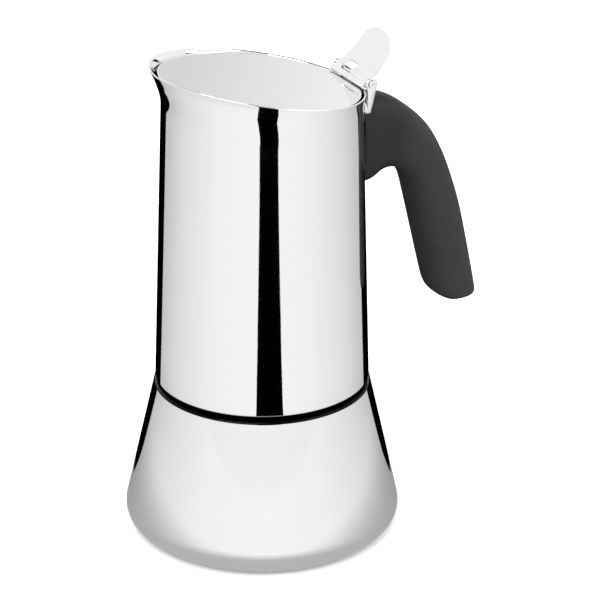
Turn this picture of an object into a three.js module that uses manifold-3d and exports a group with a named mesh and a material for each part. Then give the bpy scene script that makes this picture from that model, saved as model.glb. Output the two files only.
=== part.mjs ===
// Stainless steel moka pot with a wide conical boiler, a tall spouted collector,
// a hinged lid with a thumb lever and a curved plastic handle.
// Millimetres, +Z up. The origin is the centre of the base, on the resting face.
// The handle points along +X, the spout along -X and the safety valve along +Y.
import * as THREE from 'three';
import { mergeVertices } from 'three/addons/utils/BufferGeometryUtils.js';
import Module from 'manifold-3d';

const wasm = await Module();
wasm.setup();

// ---- driving dimensions -------------------------------------------------

const gap = 0.3; // between pieces that touch
const bigSegments = 48; // facets round the body
const smallSegments = 36; // facets round the inner pieces
const finePin = 16; // facets round pins and bores

// boiler
const baseRadius = 52.5;
const baseRounding = 6.8;
const baseStandoff = 0.4; // the rolled edge stays this far above the table
const boilerWall = 1.0;
const discRadius = 44;
const discThickness = 2.6;
const shoulderHeight = 58.2;
const shoulderRounding = 1.2;

// threaded neck
const neckOuter = 35.6;
const neckWall = 2.2;
const neckHeight = 72;
const neckCollar = 3.2; // how far the collar stands out from the neck
const shoulderWidth = 2.3; // from the collar to the edge of the boiler
const threadPitch = 3;
const threadDepth = 0.5;
const threadTurns = 3;
const threadClearance = 0.4;

// funnel and filters
const funnelWall = 0.7;
const funnelClearance = 0.5; // between the cup and the neck
const flangeInset = 0.3; // the flange ends this far inside the neck's outer face
const cupDepth = 24;
const coneDepth = 11;
const stemRadius = 5.2;
const stemBottom = 10;
const strainerThickness = 0.8;
const plateThickness = 0.8;
const gasketWidth = 6.6;
const gasketThickness = 3;
const perforationRadius = 1;
const perforationSpacing = 9;

// collector
const collectorBottom = 61;
const collectorSkirt = 4.9; // from the neck to the collector's outer face
const collectorTopRadius = 36.7;
const collectorWall = 0.9;
const rimHeight = 178; // on the axis
const rimSlope = 0.172; // the rim falls towards the handle
const lipDepth = 6;
const lipFlare = 1.1;
const spoutReach = 5.4;
const spoutRise = 1.4;
const spoutDepth = 16.3;
const spoutHalfAngle = 0.86; // radians
const columnRadius = 7.4;
const columnTopRadius = 5.6;
const columnDrop = 28; // from the rim on the axis down to the column's top
const columnWall = 1.2;
const capHeight = 8;

// lid, lever and hinge
const lidInset = 0.5; // from the collector's top radius in to the lid's edge
const lidThickness = 0.8;
const lidSink = 0.8; // the lid's top face below the rim, on the axis
const lidSlope = 0.145;
const lidBeak = 2.7; // how much further the lid reaches at the spout
const hingeReach = 1.7; // from the collector's top radius out to the pin
const hingeDrop = 4.1;
const pinRadius = 1;
const pinClearance = 0.25;
const leverThickness = 0.7;
const leverHalfWidth = 12;
const windowSide = 4.7; // strip left on each side of the window
const knuckleWall = 0.5;
const knuckleLength = 8.2;
const knuckleSide = -2.9; // the knuckle sits off centre
const earThickness = 0.8;
const earWall = 1.05; // steel round the pin's hole
const earArm = 2.8; // width of the arm below each ear
const earClearance = 0.4; // between the lever and each ear

// handle
const bracketThickness = 1;
const bracketHalfWidth = 8.5;
const bracketDrop = 12; // from the rim down to the bracket's top
const bracketHeight = 30;
const crossbarHeight = 5; // the bracket's upper end is as wide as the ears stand apart
const tangLength = 17;
const tangWidth = 12;
const tangThickness = 3;
const tangDrop = 29;
const screwReach = 14.3; // from the collector's top radius out to the screw
const screwRadius = 2;
const screwHeadRadius = 3.5;
const screwHeadHeight = 2.4;
const gripClearance = 0.4;
const gripRoundness = 2.5; // exponent of the rounded section

// safety valve
const valveHeight = 40;
const valveShank = 4;
const valveBore = 1.8;
const valveChamber = 3.3;
const valveHex = 6.9;
const valveHexHeight = 4;
const valveLength = 9;
const valveTravel = 1.5;
const washerThickness = 0.8;
const wireRadius = 0.3;

// ---- materials ----------------------------------------------------------

const mirrorSteel = () => new THREE.MeshStandardMaterial({ color: 0xe3e4e6, roughness: 0.06, metalness: 1 });
const plainSteel = () => new THREE.MeshStandardMaterial({ color: 0xc9cbce, roughness: 0.3, metalness: 1 });
const darkPlastic = () => new THREE.MeshStandardMaterial({ color: 0x2b2c2e, roughness: 0.55, metalness: 0 });
const brass = () => new THREE.MeshStandardMaterial({ color: 0xc9a24e, roughness: 0.3, metalness: 1 });
const silicone = () => new THREE.MeshStandardMaterial({ color: 0xdedbd2, roughness: 0.7, metalness: 0 });

// ---- helpers ------------------------------------------------------------

const object = new THREE.Group();

function add(name, geometry, material) {
  const mesh = new THREE.Mesh(geometry, material);
  mesh.name = name;
  object.add(mesh);
  return mesh;
}

function clean(geometry) {
  const copy = geometry.index ? geometry.clone() : geometry;
  for (const name of ['normal', 'uv', 'color']) {
    copy.deleteAttribute(name);
  }
  return mergeVertices(copy, 1e-4);
}

function toSolid(geometry) {
  const merged = clean(geometry);
  const vertProperties = new Float32Array(merged.attributes.position.array);
  const kept = [];
  const index = merged.index.array;
  for (let i = 0; i < index.length; i += 3) {
    const [a, b, c] = [index[i], index[i + 1], index[i + 2]];
    if (a !== b && b !== c && c !== a) {
      kept.push(a, b, c);
    }
  }
  return new wasm.Manifold(new wasm.Mesh({ numProp: 3, vertProperties, triVerts: new Uint32Array(kept) }));
}

function toGeometry(solid) {
  const mesh = solid.getMesh();
  const geometry = new THREE.BufferGeometry();
  geometry.setAttribute('position', new THREE.BufferAttribute(new Float32Array(mesh.vertProperties), 3));
  geometry.setIndex(new THREE.BufferAttribute(new Uint32Array(mesh.triVerts), 1));
  geometry.computeVertexNormals();
  return geometry;
}

function cut(geometry, ...tools) {
  return toGeometry(tools.reduce((solid, tool) => solid.subtract(toSolid(tool)), toSolid(geometry)));
}

function join(geometry, ...others) {
  return toGeometry(others.reduce((solid, other) => solid.add(toSolid(other)), toSolid(geometry)));
}

// A solid of revolution about +Z from [radius, z] pairs that run up the outside and down the inside.
function turned(profile, segments) {
  const points = profile.map(([radius, z]) => new THREE.Vector2(radius, z));
  const last = profile[profile.length - 1];
  if (profile[0][0] > 0 || last[0] > 0) {
    points.push(points[0].clone());
  }
  const geometry = new THREE.LatheGeometry(points, segments);
  geometry.rotateX(Math.PI / 2);
  return geometry;
}

function arc(centreR, centreZ, radius, from, to, steps) {
  const points = [];
  for (let i = 0; i <= steps; i += 1) {
    const angle = from + ((to - from) * i) / steps;
    points.push([centreR + radius * Math.cos(angle), centreZ + radius * Math.sin(angle)]);
  }
  return points;
}

function rod(radius, from, to, segments) {
  const geometry = new THREE.CylinderGeometry(radius, radius, to - from, segments);
  geometry.rotateX(Math.PI / 2);
  geometry.translate(0, 0, (from + to) / 2);
  return geometry;
}

function block(x0, x1, y0, y1, z0, z1) {
  const geometry = new THREE.BoxGeometry(x1 - x0, y1 - y0, z1 - z0);
  geometry.translate((x0 + x1) / 2, (y0 + y1) / 2, (z0 + z1) / 2);
  return geometry;
}

// A closed solid from rings of points. The rings either close on the first one or are capped at both ends.
function skinned(rings, closed) {
  const count = rings[0].length;
  const positions = rings.flat().flatMap((p) => [p.x, p.y, p.z]);
  const index = [];
  const spans = closed ? rings.length : rings.length - 1;
  for (let i = 0; i < spans; i += 1) {
    const below = i * count;
    const above = ((i + 1) % rings.length) * count;
    for (let j = 0; j < count; j += 1) {
      const next = (j + 1) % count;
      index.push(below + j, below + next, above + next, below + j, above + next, above + j);
    }
  }
  if (!closed) {
    for (const [start, flip] of [[0, true], [(rings.length - 1) * count, false]]) {
      for (let j = 1; j < count - 1; j += 1) {
        index.push(start, start + (flip ? j + 1 : j), start + (flip ? j : j + 1));
      }
    }
  }
  const geometry = new THREE.BufferGeometry();
  geometry.setAttribute('position', new THREE.Float32BufferAttribute(positions, 3));
  geometry.setIndex(signedVolume(positions, index) < 0 ? index.reverse() : index);
  geometry.computeVertexNormals();
  return geometry;
}

function signedVolume(positions, index) {
  let total = 0;
  const corner = (i) => new THREE.Vector3().fromArray(positions, index[i] * 3);
  for (let i = 0; i < index.length; i += 3) {
    total += corner(i).dot(corner(i + 1).cross(corner(i + 2)));
  }
  return total;
}

// Centres of holes on rings round the axis: one in the middle, then six more on each ring.
function holePattern(spacing, rings) {
  const centres = [[0, 0]];
  for (let ring = 1; ring <= rings; ring += 1) {
    for (let i = 0; i < ring * 6; i += 1) {
      const angle = (i / (ring * 6)) * Math.PI * 2;
      centres.push([ring * spacing * Math.cos(angle), ring * spacing * Math.sin(angle)]);
    }
  }
  return centres;
}

function perforated(radius, bottom, thickness, spacing, rings) {
  const plate = toSolid(rod(radius, bottom, bottom + thickness, smallSegments));
  const punches = holePattern(spacing, rings).map(([x, y]) => {
    const punch = rod(perforationRadius, bottom - 1, bottom + thickness + 1, 6);
    punch.translate(x, y, 0);
    return toSolid(punch);
  });
  return toGeometry(punches.reduce((solid, punch) => solid.subtract(punch), plate));
}

// ---- heights that follow from the dimensions ----------------------------

const floorBottom = discThickness + gap;
const flangeBottom = neckHeight + gap;
const flangeTop = flangeBottom + funnelWall;
const gasketBottom = flangeTop + gap;
const plateBottom = gasketBottom + gasketThickness + gap;
const collectorFloor = plateBottom + plateThickness + gap;
const neckInner = neckOuter - neckWall;
const neckCollarRadius = neckOuter + neckCollar;
const shoulderRadius = neckCollarRadius + shoulderWidth;
const flangeRadius = neckOuter - flangeInset;
const plateRadius = flangeRadius - 0.1;
const gasketInner = plateRadius - gasketWidth;
const collectorBottomRadius = neckOuter + collectorSkirt;
const columnTop = rimHeight - columnDrop;
const lidRadius = collectorTopRadius - lidInset;
const lidHeight = rimHeight - lidSink;
const hingeX = collectorTopRadius + hingeReach;
const hingeZ = rimHeight - hingeDrop;
const bracketTop = rimHeight - bracketDrop;
const bracketBottom = bracketTop - bracketHeight;
const tangHeight = rimHeight - tangDrop;
const screwX = collectorTopRadius + screwReach;
const cupRadius = neckInner - funnelClearance;
const cupBottom = flangeBottom - cupDepth;
const collarTop = collectorBottom + 1.4;
const threadCrest = neckOuter + threadDepth;
const ringInner = threadCrest + threadClearance;

// Where the straight cone leaves the rounded edge of the base.
const roundCentre = { r: baseRadius - baseRounding, z: baseStandoff + baseRounding };

function tangentAngle(radius, toR, toZ) {
  const dr = toR - roundCentre.r;
  const dz = toZ - roundCentre.z;
  return Math.atan2(dz, dr) - Math.acos(radius / Math.hypot(dr, dz));
}

const coneLean = tangentAngle(baseRounding, shoulderRadius, shoulderHeight);

function coneRadius(z) {
  return shoulderRadius + (shoulderHeight - z) * Math.tan(coneLean);
}

// ---- boiler -------------------------------------------------------------

function baseDisc() {
  const edge = 0.6;
  return turned([
    [0, 0], [discRadius - edge, 0], [discRadius, edge], [discRadius, discThickness], [0, discThickness],
  ], bigSegments);
}

function boilerShell() {
  const floorTop = floorBottom + boilerWall;
  const innerRounding = baseRounding - boilerWall;
  const innerStart = Math.asin((floorTop - roundCentre.z) / innerRounding);
  const shoulderTop = shoulderHeight + shoulderRounding * (1 - Math.sin(coneLean));
  const shoulderCentre = shoulderRadius - shoulderRounding * Math.cos(coneLean);
  const neckHole = neckOuter + 1;
  const outer = [
    [0, floorBottom],
    [discRadius + gap, floorBottom],
    [discRadius + gap, baseStandoff],
    ...arc(roundCentre.r, roundCentre.z, baseRounding, -Math.PI / 2, coneLean, 7),
    ...arc(shoulderCentre, shoulderTop - shoulderRounding, shoulderRounding, coneLean, Math.PI / 2, 3),
    [neckHole, shoulderTop],
  ];
  const inner = [
    [neckHole, shoulderTop - boilerWall],
    [shoulderRadius - shoulderRounding - boilerWall / 2, shoulderTop - boilerWall],
    [coneRadius(shoulderTop - 2 * boilerWall) - boilerWall, shoulderTop - 2 * boilerWall],
    ...arc(roundCentre.r, roundCentre.z, innerRounding, coneLean, innerStart, 4),
    [0, floorTop],
  ];
  const valveHole = rod(valveShank + gap, -8, 8, finePin);
  valveHole.applyMatrix4(valvePlace());
  return cut(turned([...outer, ...inner], bigSegments), valveHole);
}

function boilerNeck() {
  const bottom = shoulderHeight + shoulderRounding + gap;
  const profile = [
    [neckInner, bottom], [neckCollarRadius, bottom], [neckCollarRadius, collarTop], [neckOuter, collarTop],
  ];
  for (let turn = 0; turn < threadTurns; turn += 1) {
    const z = neckHeight - threadPitch * (threadTurns - turn) + 1;
    profile.push([neckOuter, z - 0.2], [threadCrest, z + 0.4], [threadCrest, z + 0.8], [neckOuter, z + 1.4]);
  }
  profile.push([neckOuter, neckHeight], [neckInner, neckHeight]);
  return turned(profile, smallSegments);
}

// ---- safety valve, built along +Z with the boiler's outer surface at zero --

function valvePlace() {
  const direction = new THREE.Vector3(0, Math.cos(coneLean), Math.sin(coneLean));
  const turn = new THREE.Quaternion().setFromUnitVectors(new THREE.Vector3(0, 0, 1), direction);
  const place = new THREE.Vector3(0, coneRadius(valveHeight), valveHeight);
  return new THREE.Matrix4().compose(place, turn, new THREE.Vector3(1, 1, 1));
}

function onBoiler(geometry) {
  geometry.applyMatrix4(valvePlace());
  return geometry;
}

function valveWasher() {
  const hole = valveShank + gap;
  const top = gap + washerThickness;
  return onBoiler(turned([[hole, gap], [valveHex, gap], [valveHex, top], [hole, top]], finePin));
}

function valveBody() {
  const hexBottom = washerThickness + 2 * gap;
  const chimney = valveChamber + 1;
  const tube = turned([
    [valveBore, -6.5], [valveShank, -6.5], [valveShank, hexBottom + 1], [chimney, hexBottom + 1],
    [chimney, valveLength], [valveChamber, valveLength], [valveChamber, hexBottom + 0.6],
    [valveBore, hexBottom],
  ], finePin);
  const hexHole = rod(valveChamber + 0.4, hexBottom - 1, hexBottom + valveHexHeight + 1, finePin);
  const hex = cut(rod(valveHex, hexBottom, hexBottom + valveHexHeight, 6), hexHole);
  return onBoiler(join(tube, hex));
}

function valveNut() {
  const hollow = valveHex ** 2 / (2 * (coneRadius(valveHeight) - boilerWall)); // the wall curves round the nut
  const top = -boilerWall - gap - hollow;
  const hole = rod(valveShank + gap, top - 4, top + 1, finePin);
  return onBoiler(cut(rod(valveHex, top - 2.8, top, 6), hole));
}

function valvePlunger() {
  const seat = washerThickness + 2 * gap + 0.6 + gap;
  const stem = valveBore - 0.5;
  return onBoiler(turned([
    [0, -5], [stem, -5], [stem, seat], [valveChamber - 0.4, seat], [valveChamber - 0.4, seat + 1],
    [stem - 0.2, seat + 1], [stem - 0.2, valveLength + 2], [0, valveLength + 2.4],
  ], finePin));
}

class Helix extends THREE.Curve {
  constructor(radius, from, to, turns) {
    super();
    Object.assign(this, { radius, from, to, turns });
  }

  getPoint(t, target = new THREE.Vector3()) {
    const angle = t * this.turns * Math.PI * 2;
    return target.set(
      this.radius * Math.cos(angle),
      this.radius * Math.sin(angle),
      this.from + (this.to - this.from) * t,
    );
  }
}

function valveSpring() {
  const collarTopPlace = washerThickness + 3 * gap + 1.6;
  const from = collarTopPlace + valveTravel + wireRadius + 0.1;
  const coil = new Helix(valveChamber - wireRadius - 0.6, from, valveLength - wireRadius - 0.1, 4);
  const section = new THREE.Shape();
  section.absarc(0, 0, wireRadius, 0, Math.PI * 2, true);
  return onBoiler(new THREE.ExtrudeGeometry(section, { steps: 32, curveSegments: 3, extrudePath: coil }));
}

function valveRetainer() {
  const bottom = valveLength + gap;
  return onBoiler(turned([
    [valveBore, bottom], [valveChamber + 0.8, bottom], [valveChamber + 0.8, bottom + 0.6],
    [valveChamber, bottom + 1.2], [valveBore, bottom + 1.2],
  ], finePin));
}

// ---- funnel, gasket and filters -----------------------------------------

function funnel() {
  const coneBottom = cupBottom - coneDepth;
  const inner = cupRadius - funnelWall;
  const ledge = cupBottom + 3;
  return turned([
    [stemRadius, stemBottom], [stemRadius, coneBottom], [cupRadius - 2, cupBottom], [cupRadius, cupBottom + 2],
    [cupRadius, flangeBottom], [flangeRadius, flangeBottom], [flangeRadius, flangeTop], [inner, flangeTop],
    [inner, ledge], [inner - 0.9, ledge], [inner - 1.6, cupBottom + 1.4],
    [stemRadius - funnelWall, coneBottom + funnelWall], [stemRadius - funnelWall, stemBottom],
  ], smallSegments);
}

function funnelStrainer() {
  const radius = cupRadius - funnelWall - gap;
  return perforated(radius, cupBottom + 3 + gap, strainerThickness, perforationSpacing, 2);
}

function gasket() {
  const soften = 0.4;
  const top = gasketBottom + gasketThickness;
  return turned([
    [gasketInner, gasketBottom + soften], [gasketInner + soften, gasketBottom], [plateRadius, gasketBottom],
    [plateRadius + soften, gasketBottom + soften], [plateRadius + soften, top - soften], [plateRadius, top],
    [gasketInner + soften, top], [gasketInner, top - soften],
  ], smallSegments);
}

function filterPlate() {
  return perforated(plateRadius, plateBottom, plateThickness, perforationSpacing, 2);
}

// ---- collector ----------------------------------------------------------

function rimAt(angle) {
  const fromSpout = (1 - Math.cos(angle)) / 2; // 1 at the spout, 0 at the handle
  return rimHeight - rimSlope * collectorTopRadius * Math.cos(angle) + spoutRise * fromSpout ** 2.8;
}

// 1 at the spout, falling off smoothly to either side.
function beakAt(angle) {
  return Math.exp(-((Math.abs(Math.PI - angle) / spoutHalfAngle) ** 1.3));
}

function bodyRadius(z) {
  const t = (z - collectorBottom) / (rimHeight - collectorBottom);
  return collectorBottomRadius + (collectorTopRadius - collectorBottomRadius) * t;
}

function collectorRadius(angle, z) {
  const below = rimAt(angle) - z;
  const lip = Math.max(0, 1 - below / lipDepth) ** 2;
  const share = Math.max(0, 1 - below / spoutDepth);
  const spout = share * share * (2.5 - 1.5 * share);
  return bodyRadius(z) + lipFlare * lip + spoutReach * spout * beakAt(angle);
}

// Angles round the axis, closer together near the spout.
function bodyAngles(count) {
  const angles = [];
  for (let i = 0; i < count; i += 1) {
    const t = (i / count) * 2 - 1;
    angles.push(Math.PI + Math.PI * (0.5 * t + 0.5 * t ** 3));
  }
  return angles;
}

function collectorShell() {
  const angles = bodyAngles(bigSegments);
  const rows = 8;
  const ring = (row, inset) => angles.map((angle) => {
    const rim = rimAt(angle);
    const z = row === 0 ? collectorBottom : rim - spoutDepth * (1 - row / rows);
    const radius = collectorRadius(angle, z) - inset;
    return new THREE.Vector3(radius * Math.cos(angle), radius * Math.sin(angle), z);
  });
  const rings = [];
  for (let row = 0; row <= rows; row += 1) {
    rings.push(ring(row, 0));
  }
  for (let row = rows; row >= 0; row -= 1) {
    rings.push(ring(row, collectorWall));
  }
  return skinned(rings, true);
}

function collectorThreadRing() {
  const bottom = collarTop + gap;
  const top = collectorFloor - gap;
  const outer = Math.min(bodyRadius(bottom), bodyRadius(collectorFloor)) - collectorWall - gap;
  const profile = [[ringInner, bottom], [outer, bottom], [outer, top], [plateRadius + 0.8, top]];
  profile.push([plateRadius + 0.8, neckHeight + 0.6], [ringInner + threadDepth, neckHeight + 0.6]);
  for (let turn = 0; turn < threadTurns; turn += 1) {
    const z = neckHeight - threadPitch * turn;
    profile.push([ringInner + threadDepth, z - 0.6], [ringInner, z - 1.1], [ringInner, z - 1.4]);
    profile.push([ringInner + threadDepth, z - 1.9]);
  }
  profile.push([ringInner + threadDepth, bottom + 0.6]);
  return turned(profile, smallSegments);
}

function collectorFloorPan() {
  const outer = Math.min(bodyRadius(collectorFloor), bodyRadius(collectorFloor + 1)) - collectorWall - gap;
  const flat = 28;
  const rise = 5;
  const hole = columnRadius - 1;
  return turned([
    [hole, collectorFloor + rise], [flat, collectorFloor], [outer, collectorFloor],
    [outer, collectorFloor + collectorWall], [flat, collectorFloor + collectorWall],
    [hole, collectorFloor + rise + collectorWall],
  ], smallSegments);
}

function riserColumn() {
  const bottom = collectorFloor + 5 + collectorWall + gap;
  const foot = columnRadius + 2.5;
  return turned([
    [columnRadius - columnWall, bottom], [foot, bottom], [foot, bottom + 1], [columnRadius, bottom + 3],
    [columnTopRadius, columnTop], [columnTopRadius - columnWall, columnTop],
  ], smallSegments);
}

function columnCap() {
  const inner = columnTopRadius + gap + 0.1;
  const outer = inner + 0.8;
  const bottom = columnTop - 6;
  const top = columnTop + capHeight;
  const shell = turned([
    [inner, bottom], [outer, bottom], [outer, top - 3], [outer - 2, top - 0.7], [0, top],
    [0, top - 0.9], [inner - 2, top - 1.6], [inner, top - 3.6],
  ], smallSegments);
  const windows = [0, 1].map((i) => {
    const slot = block(-outer - 1, outer + 1, -1.8, 1.8, columnTop + 1, columnTop + 4);
    slot.rotateZ((i + 0.5) * (Math.PI / 2));
    return slot;
  });
  return cut(shell, ...windows);
}

// ---- lid and hinge ------------------------------------------------------

function lidTopAt(x) {
  return lidHeight - lidSlope * x;
}

function lidPlate() {
  const outline = bodyAngles(bigSegments).map((angle) => {
    const radius = lidRadius + lidBeak * beakAt(angle);
    return [radius * Math.cos(angle), radius * Math.sin(angle)];
  });
  const ring = (drop) => outline.map(([x, y]) => new THREE.Vector3(x, y, lidTopAt(x) - drop));
  return skinned([ring(lidThickness), ring(0)], false);
}

// The thumb lever's side view, from the foot folded under its front edge up to the tip.
function leverCurve() {
  const foot = lidTopAt(lidRadius - 1) + gap + leverThickness / 2;
  const over = pinRadius + pinClearance + leverThickness / 2; // clears the pin
  const places = [
    [hingeX - 1.9, foot], [hingeX - 2.9, foot], [hingeX - 3.45, foot + 0.15], [hingeX - 3.65, foot + 0.5],
    [hingeX - 3.45, foot + 0.9], [hingeX - 1.75, hingeZ + 0.25], [hingeX - 0.85, hingeZ + over - 0.1],
    [hingeX + 0.5, hingeZ + over + 0.55], [hingeX + 2.1, hingeZ + over + 1.2], [hingeX + 5.3, hingeZ + 6.1],
    [hingeX + 7.9, hingeZ + 9.4], [hingeX + 9.6, hingeZ + 12.5], [hingeX + 10.6, hingeZ + 15.8],
  ];
  return new THREE.CatmullRomCurve3(places.map(([x, z]) => new THREE.Vector3(x, 0, z)), false, 'centripetal');
}

// Half the width along the lever: parallel sides, then a slow taper and a round tip.
function leverWidthAt(t) {
  const tipStart = 0.72;
  const taper = leverHalfWidth - 1.9 * THREE.MathUtils.smoothstep(t, 0.35, 0.8);
  const u = Math.max(0, (t - tipStart) / (1 - tipStart));
  return taper * Math.sqrt(Math.max(0.0004, 1 - u ** 2.4));
}

function lidLever() {
  const curve = leverCurve();
  const steps = 32;
  const rings = [];
  for (let i = 0; i <= steps; i += 1) {
    const t = 1 - (1 - i / steps) ** 1.25;
    const middle = curve.getPointAt(t);
    const along = curve.getTangentAt(t);
    const off = new THREE.Vector3(-along.z, 0, along.x).multiplyScalar(leverThickness / 2);
    const width = new THREE.Vector3(0, leverWidthAt(t), 0);
    rings.push([
      middle.clone().add(off).add(width), middle.clone().add(off).sub(width),
      middle.clone().sub(off).sub(width), middle.clone().sub(off).add(width),
    ]);
  }
  const windowEdge = leverHalfWidth - windowSide;
  const window = block(hingeX - 1.9, hingeX + 2, -windowEdge, windowEdge, hingeZ - 0.35, hingeZ + 6);
  const knuckleInner = pinRadius + pinClearance;
  const knuckle = turned([
    [knuckleInner, -knuckleLength / 2], [knuckleInner + knuckleWall, -knuckleLength / 2],
    [knuckleInner + knuckleWall, knuckleLength / 2], [knuckleInner, knuckleLength / 2],
  ], finePin);
  knuckle.rotateX(Math.PI / 2);
  knuckle.translate(hingeX, knuckleSide, hingeZ);
  const tongueShape = new THREE.Shape();
  tongueShape.moveTo(hingeX + 0.4, hingeZ + knuckleInner);
  tongueShape.lineTo(hingeX + 2.5, hingeZ + knuckleInner + 1.65);
  tongueShape.lineTo(hingeX + 2.2, hingeZ + knuckleInner + 1.95);
  tongueShape.lineTo(hingeX, hingeZ + knuckleInner + knuckleWall);
  const tongue = new THREE.ExtrudeGeometry(tongueShape, { depth: knuckleLength, bevelEnabled: false });
  tongue.rotateX(Math.PI / 2);
  tongue.translate(0, knuckleLength / 2 + knuckleSide, 0);
  return join(cut(skinned(rings, false), window), knuckle, tongue);
}

function hingePin() {
  const reach = leverHalfWidth + earClearance + earThickness + gap;
  const head = 0.4;
  const pin = turned([
    [0, -reach - head], [pinRadius + 0.3, -reach - head], [pinRadius + 0.5, -reach], [pinRadius, -reach],
    [pinRadius, reach], [pinRadius + 0.5, reach], [pinRadius + 0.3, reach + head], [0, reach + head],
  ], finePin);
  pin.rotateX(Math.PI / 2);
  pin.translate(hingeX, 0, hingeZ);
  return pin;
}

// ---- handle -------------------------------------------------------------

const wallClearance = gap + 0.15; // the collector's facets stay clear of what hugs it

function bracketInner(z) {
  return bodyRadius(z) + wallClearance;
}

function bracketOuter(z) {
  return bracketInner(z) + bracketThickness;
}

// A shell that follows the collector's taper, kept between two heights and within a half width.
function huggingPlate(inner, outer, bottom, top, halfWidth) {
  const profile = [[inner(bottom), bottom], [outer(bottom), bottom], [outer(top), top], [inner(top), top]];
  const shell = turned(profile, bigSegments * 2);
  const slab = block(0, 2 * baseRadius, -halfWidth, halfWidth, bottom - 1, top + 1);
  return toGeometry(toSolid(shell).intersect(toSolid(slab)));
}

function hingeBracket() {
  const earFace = leverHalfWidth + earClearance;
  const earOuter = earFace + earThickness;
  const crossbarBottom = bracketTop - crossbarHeight;
  const plate = huggingPlate(bracketInner, bracketOuter, bracketBottom, bracketTop, bracketHalfWidth);
  const crossbar = huggingPlate(bracketInner, bracketOuter, crossbarBottom, bracketTop, earOuter);
  const earRadius = pinRadius + pinClearance + earWall;
  const foot = Math.sqrt(bracketInner(crossbarBottom) ** 2 - earFace ** 2) + 0.1;
  const waist = foot + 0.9; // the arm leans out past the rim's lip
  const earShape = new THREE.Shape();
  earShape.moveTo(foot, crossbarBottom);
  earShape.lineTo(foot + earArm, crossbarBottom);
  earShape.lineTo(waist + earArm, bracketTop);
  earShape.absarc(hingeX, hingeZ, earRadius, -0.5, Math.PI + 0.3, false);
  earShape.lineTo(waist, bracketTop);
  const pinHole = new THREE.Path();
  pinHole.absarc(hingeX, hingeZ, pinRadius + pinClearance, 0, Math.PI * 2, true);
  earShape.holes.push(pinHole);
  const ears = [-earOuter, earFace].map((y) => {
    const flat = { depth: earThickness, bevelEnabled: false, curveSegments: 12 };
    const ear = new THREE.ExtrudeGeometry(earShape, flat);
    ear.rotateX(Math.PI / 2);
    ear.translate(0, y + earThickness, 0);
    return ear;
  });
  return join(plate, crossbar, ...ears);
}

const tangFoot = 1.2;
const tangFootRise = 8;
const tangFootEnds = [tangHeight - tangFootRise, tangHeight + tangFootRise];
const tangStart = gap + Math.max(...tangFootEnds.map(bracketOuter));

function handleTang() {
  const start = tangStart;
  const side = tangWidth / 2;
  const plate = block(start, start + tangLength, -side, side, tangHeight, tangHeight + tangThickness);
  const foot = block(start, start + tangFoot, -side, side, ...tangFootEnds);
  const hole = rod(screwRadius + gap, tangHeight - 1, tangHeight + tangThickness + 1, finePin);
  hole.translate(screwX, 0, 0);
  return cut(join(plate, foot), hole);
}

// Places on the grip's outer and inner edge with half its width, from the root to the free end.
// They are given outwards from the collector's top radius and up from the rim.
const rootReach = 1.3;
const gripStations = [
  { outer: [rootReach, -11.6], inner: [rootReach, -46.5], width: 10 },
  { outer: [8.1, -11.8], inner: [6.3, -45.9], width: 10 },
  { outer: [15.6, -14.2], inner: [11, -42.9], width: 10 },
  { outer: [23.6, -19.8], inner: [15.5, -42.3], width: 10 },
  { outer: [31, -27.2], inner: [19.2, -43.9], width: 10 },
  { outer: [36.7, -36.8], inner: [22.2, -47.9], width: 10 },
  { outer: [41.4, -48.2], inner: [24.4, -55.7], width: 10 },
  { outer: [45.6, -61.2], inner: [27, -66.2], width: 10 },
  { outer: [49.4, -77.2], inner: [30.3, -79.5], width: 10 },
  { outer: [52.6, -92.1], inner: [33.8, -93.2], width: 10 },
  { outer: [54.6, -101.8], inner: [36.2, -101.8], width: 10 },
];

// How much of the section is left near the free end, where an edge rounds off from start on.
function roundedOff(t, start, power) {
  const u = Math.max(0, (t - start) / (1 - start));
  return Math.max(0.02, (1 - u ** power) ** (1 / power));
}

function gripRings(sides) {
  const curve = (read) => new THREE.CatmullRomCurve3(gripStations.map(read), false, 'catmullrom', 0.5);
  const rootStart = bodyRadius(bracketBottom); // the root never starts away from the collector
  const onPot = ([x, z]) => {
    const reach = x === rootReach ? Math.min(collectorTopRadius + x, rootStart) : collectorTopRadius + x;
    return new THREE.Vector3(reach, 0, rimHeight + z);
  };
  const outerEdge = curve(({ outer }) => onPot(outer));
  const innerEdge = curve(({ inner }) => onPot(inner));
  const widths = curve(({ width }) => new THREE.Vector3(width, 0, 0));
  const steps = 26;
  const capSteps = 9;
  const capStart = 0.87;
  const bodySteps = steps - capSteps;
  const capShare = (i) => Math.sin((Math.PI / 2) * ((i - bodySteps) / capSteps));
  const rings = [];
  for (let i = 0; i <= steps; i += 1) {
    const t = i < bodySteps ? (i / bodySteps) * capStart : capStart + (1 - capStart) * capShare(i);
    const outer = outerEdge.getPoint(t);
    const inner = innerEdge.getPoint(t);
    const middle = outer.clone().add(inner).multiplyScalar(0.5);
    const halfDepth = outer.clone().sub(inner).multiplyScalar(0.5);
    const halfWidth = widths.getPoint(t).x * roundedOff(t, 0.91, 3);
    rings.push(Array.from({ length: sides }, (_, j) => {
      const angle = (j / sides) * Math.PI * 2;
      const round = (value) => Math.sign(value) * Math.abs(value) ** (2 / gripRoundness);
      const across = round(Math.cos(angle));
      const left = across > 0 ? roundedOff(t, 0.957, 4) : roundedOff(t, 0.88, 2.2);
      return middle.clone()
        .addScaledVector(halfDepth, across * left)
        .add(new THREE.Vector3(0, halfWidth * round(Math.sin(angle)), 0));
    }));
  }
  return rings;
}

const screwHeadBottom = tangHeight - 10.5;

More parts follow.
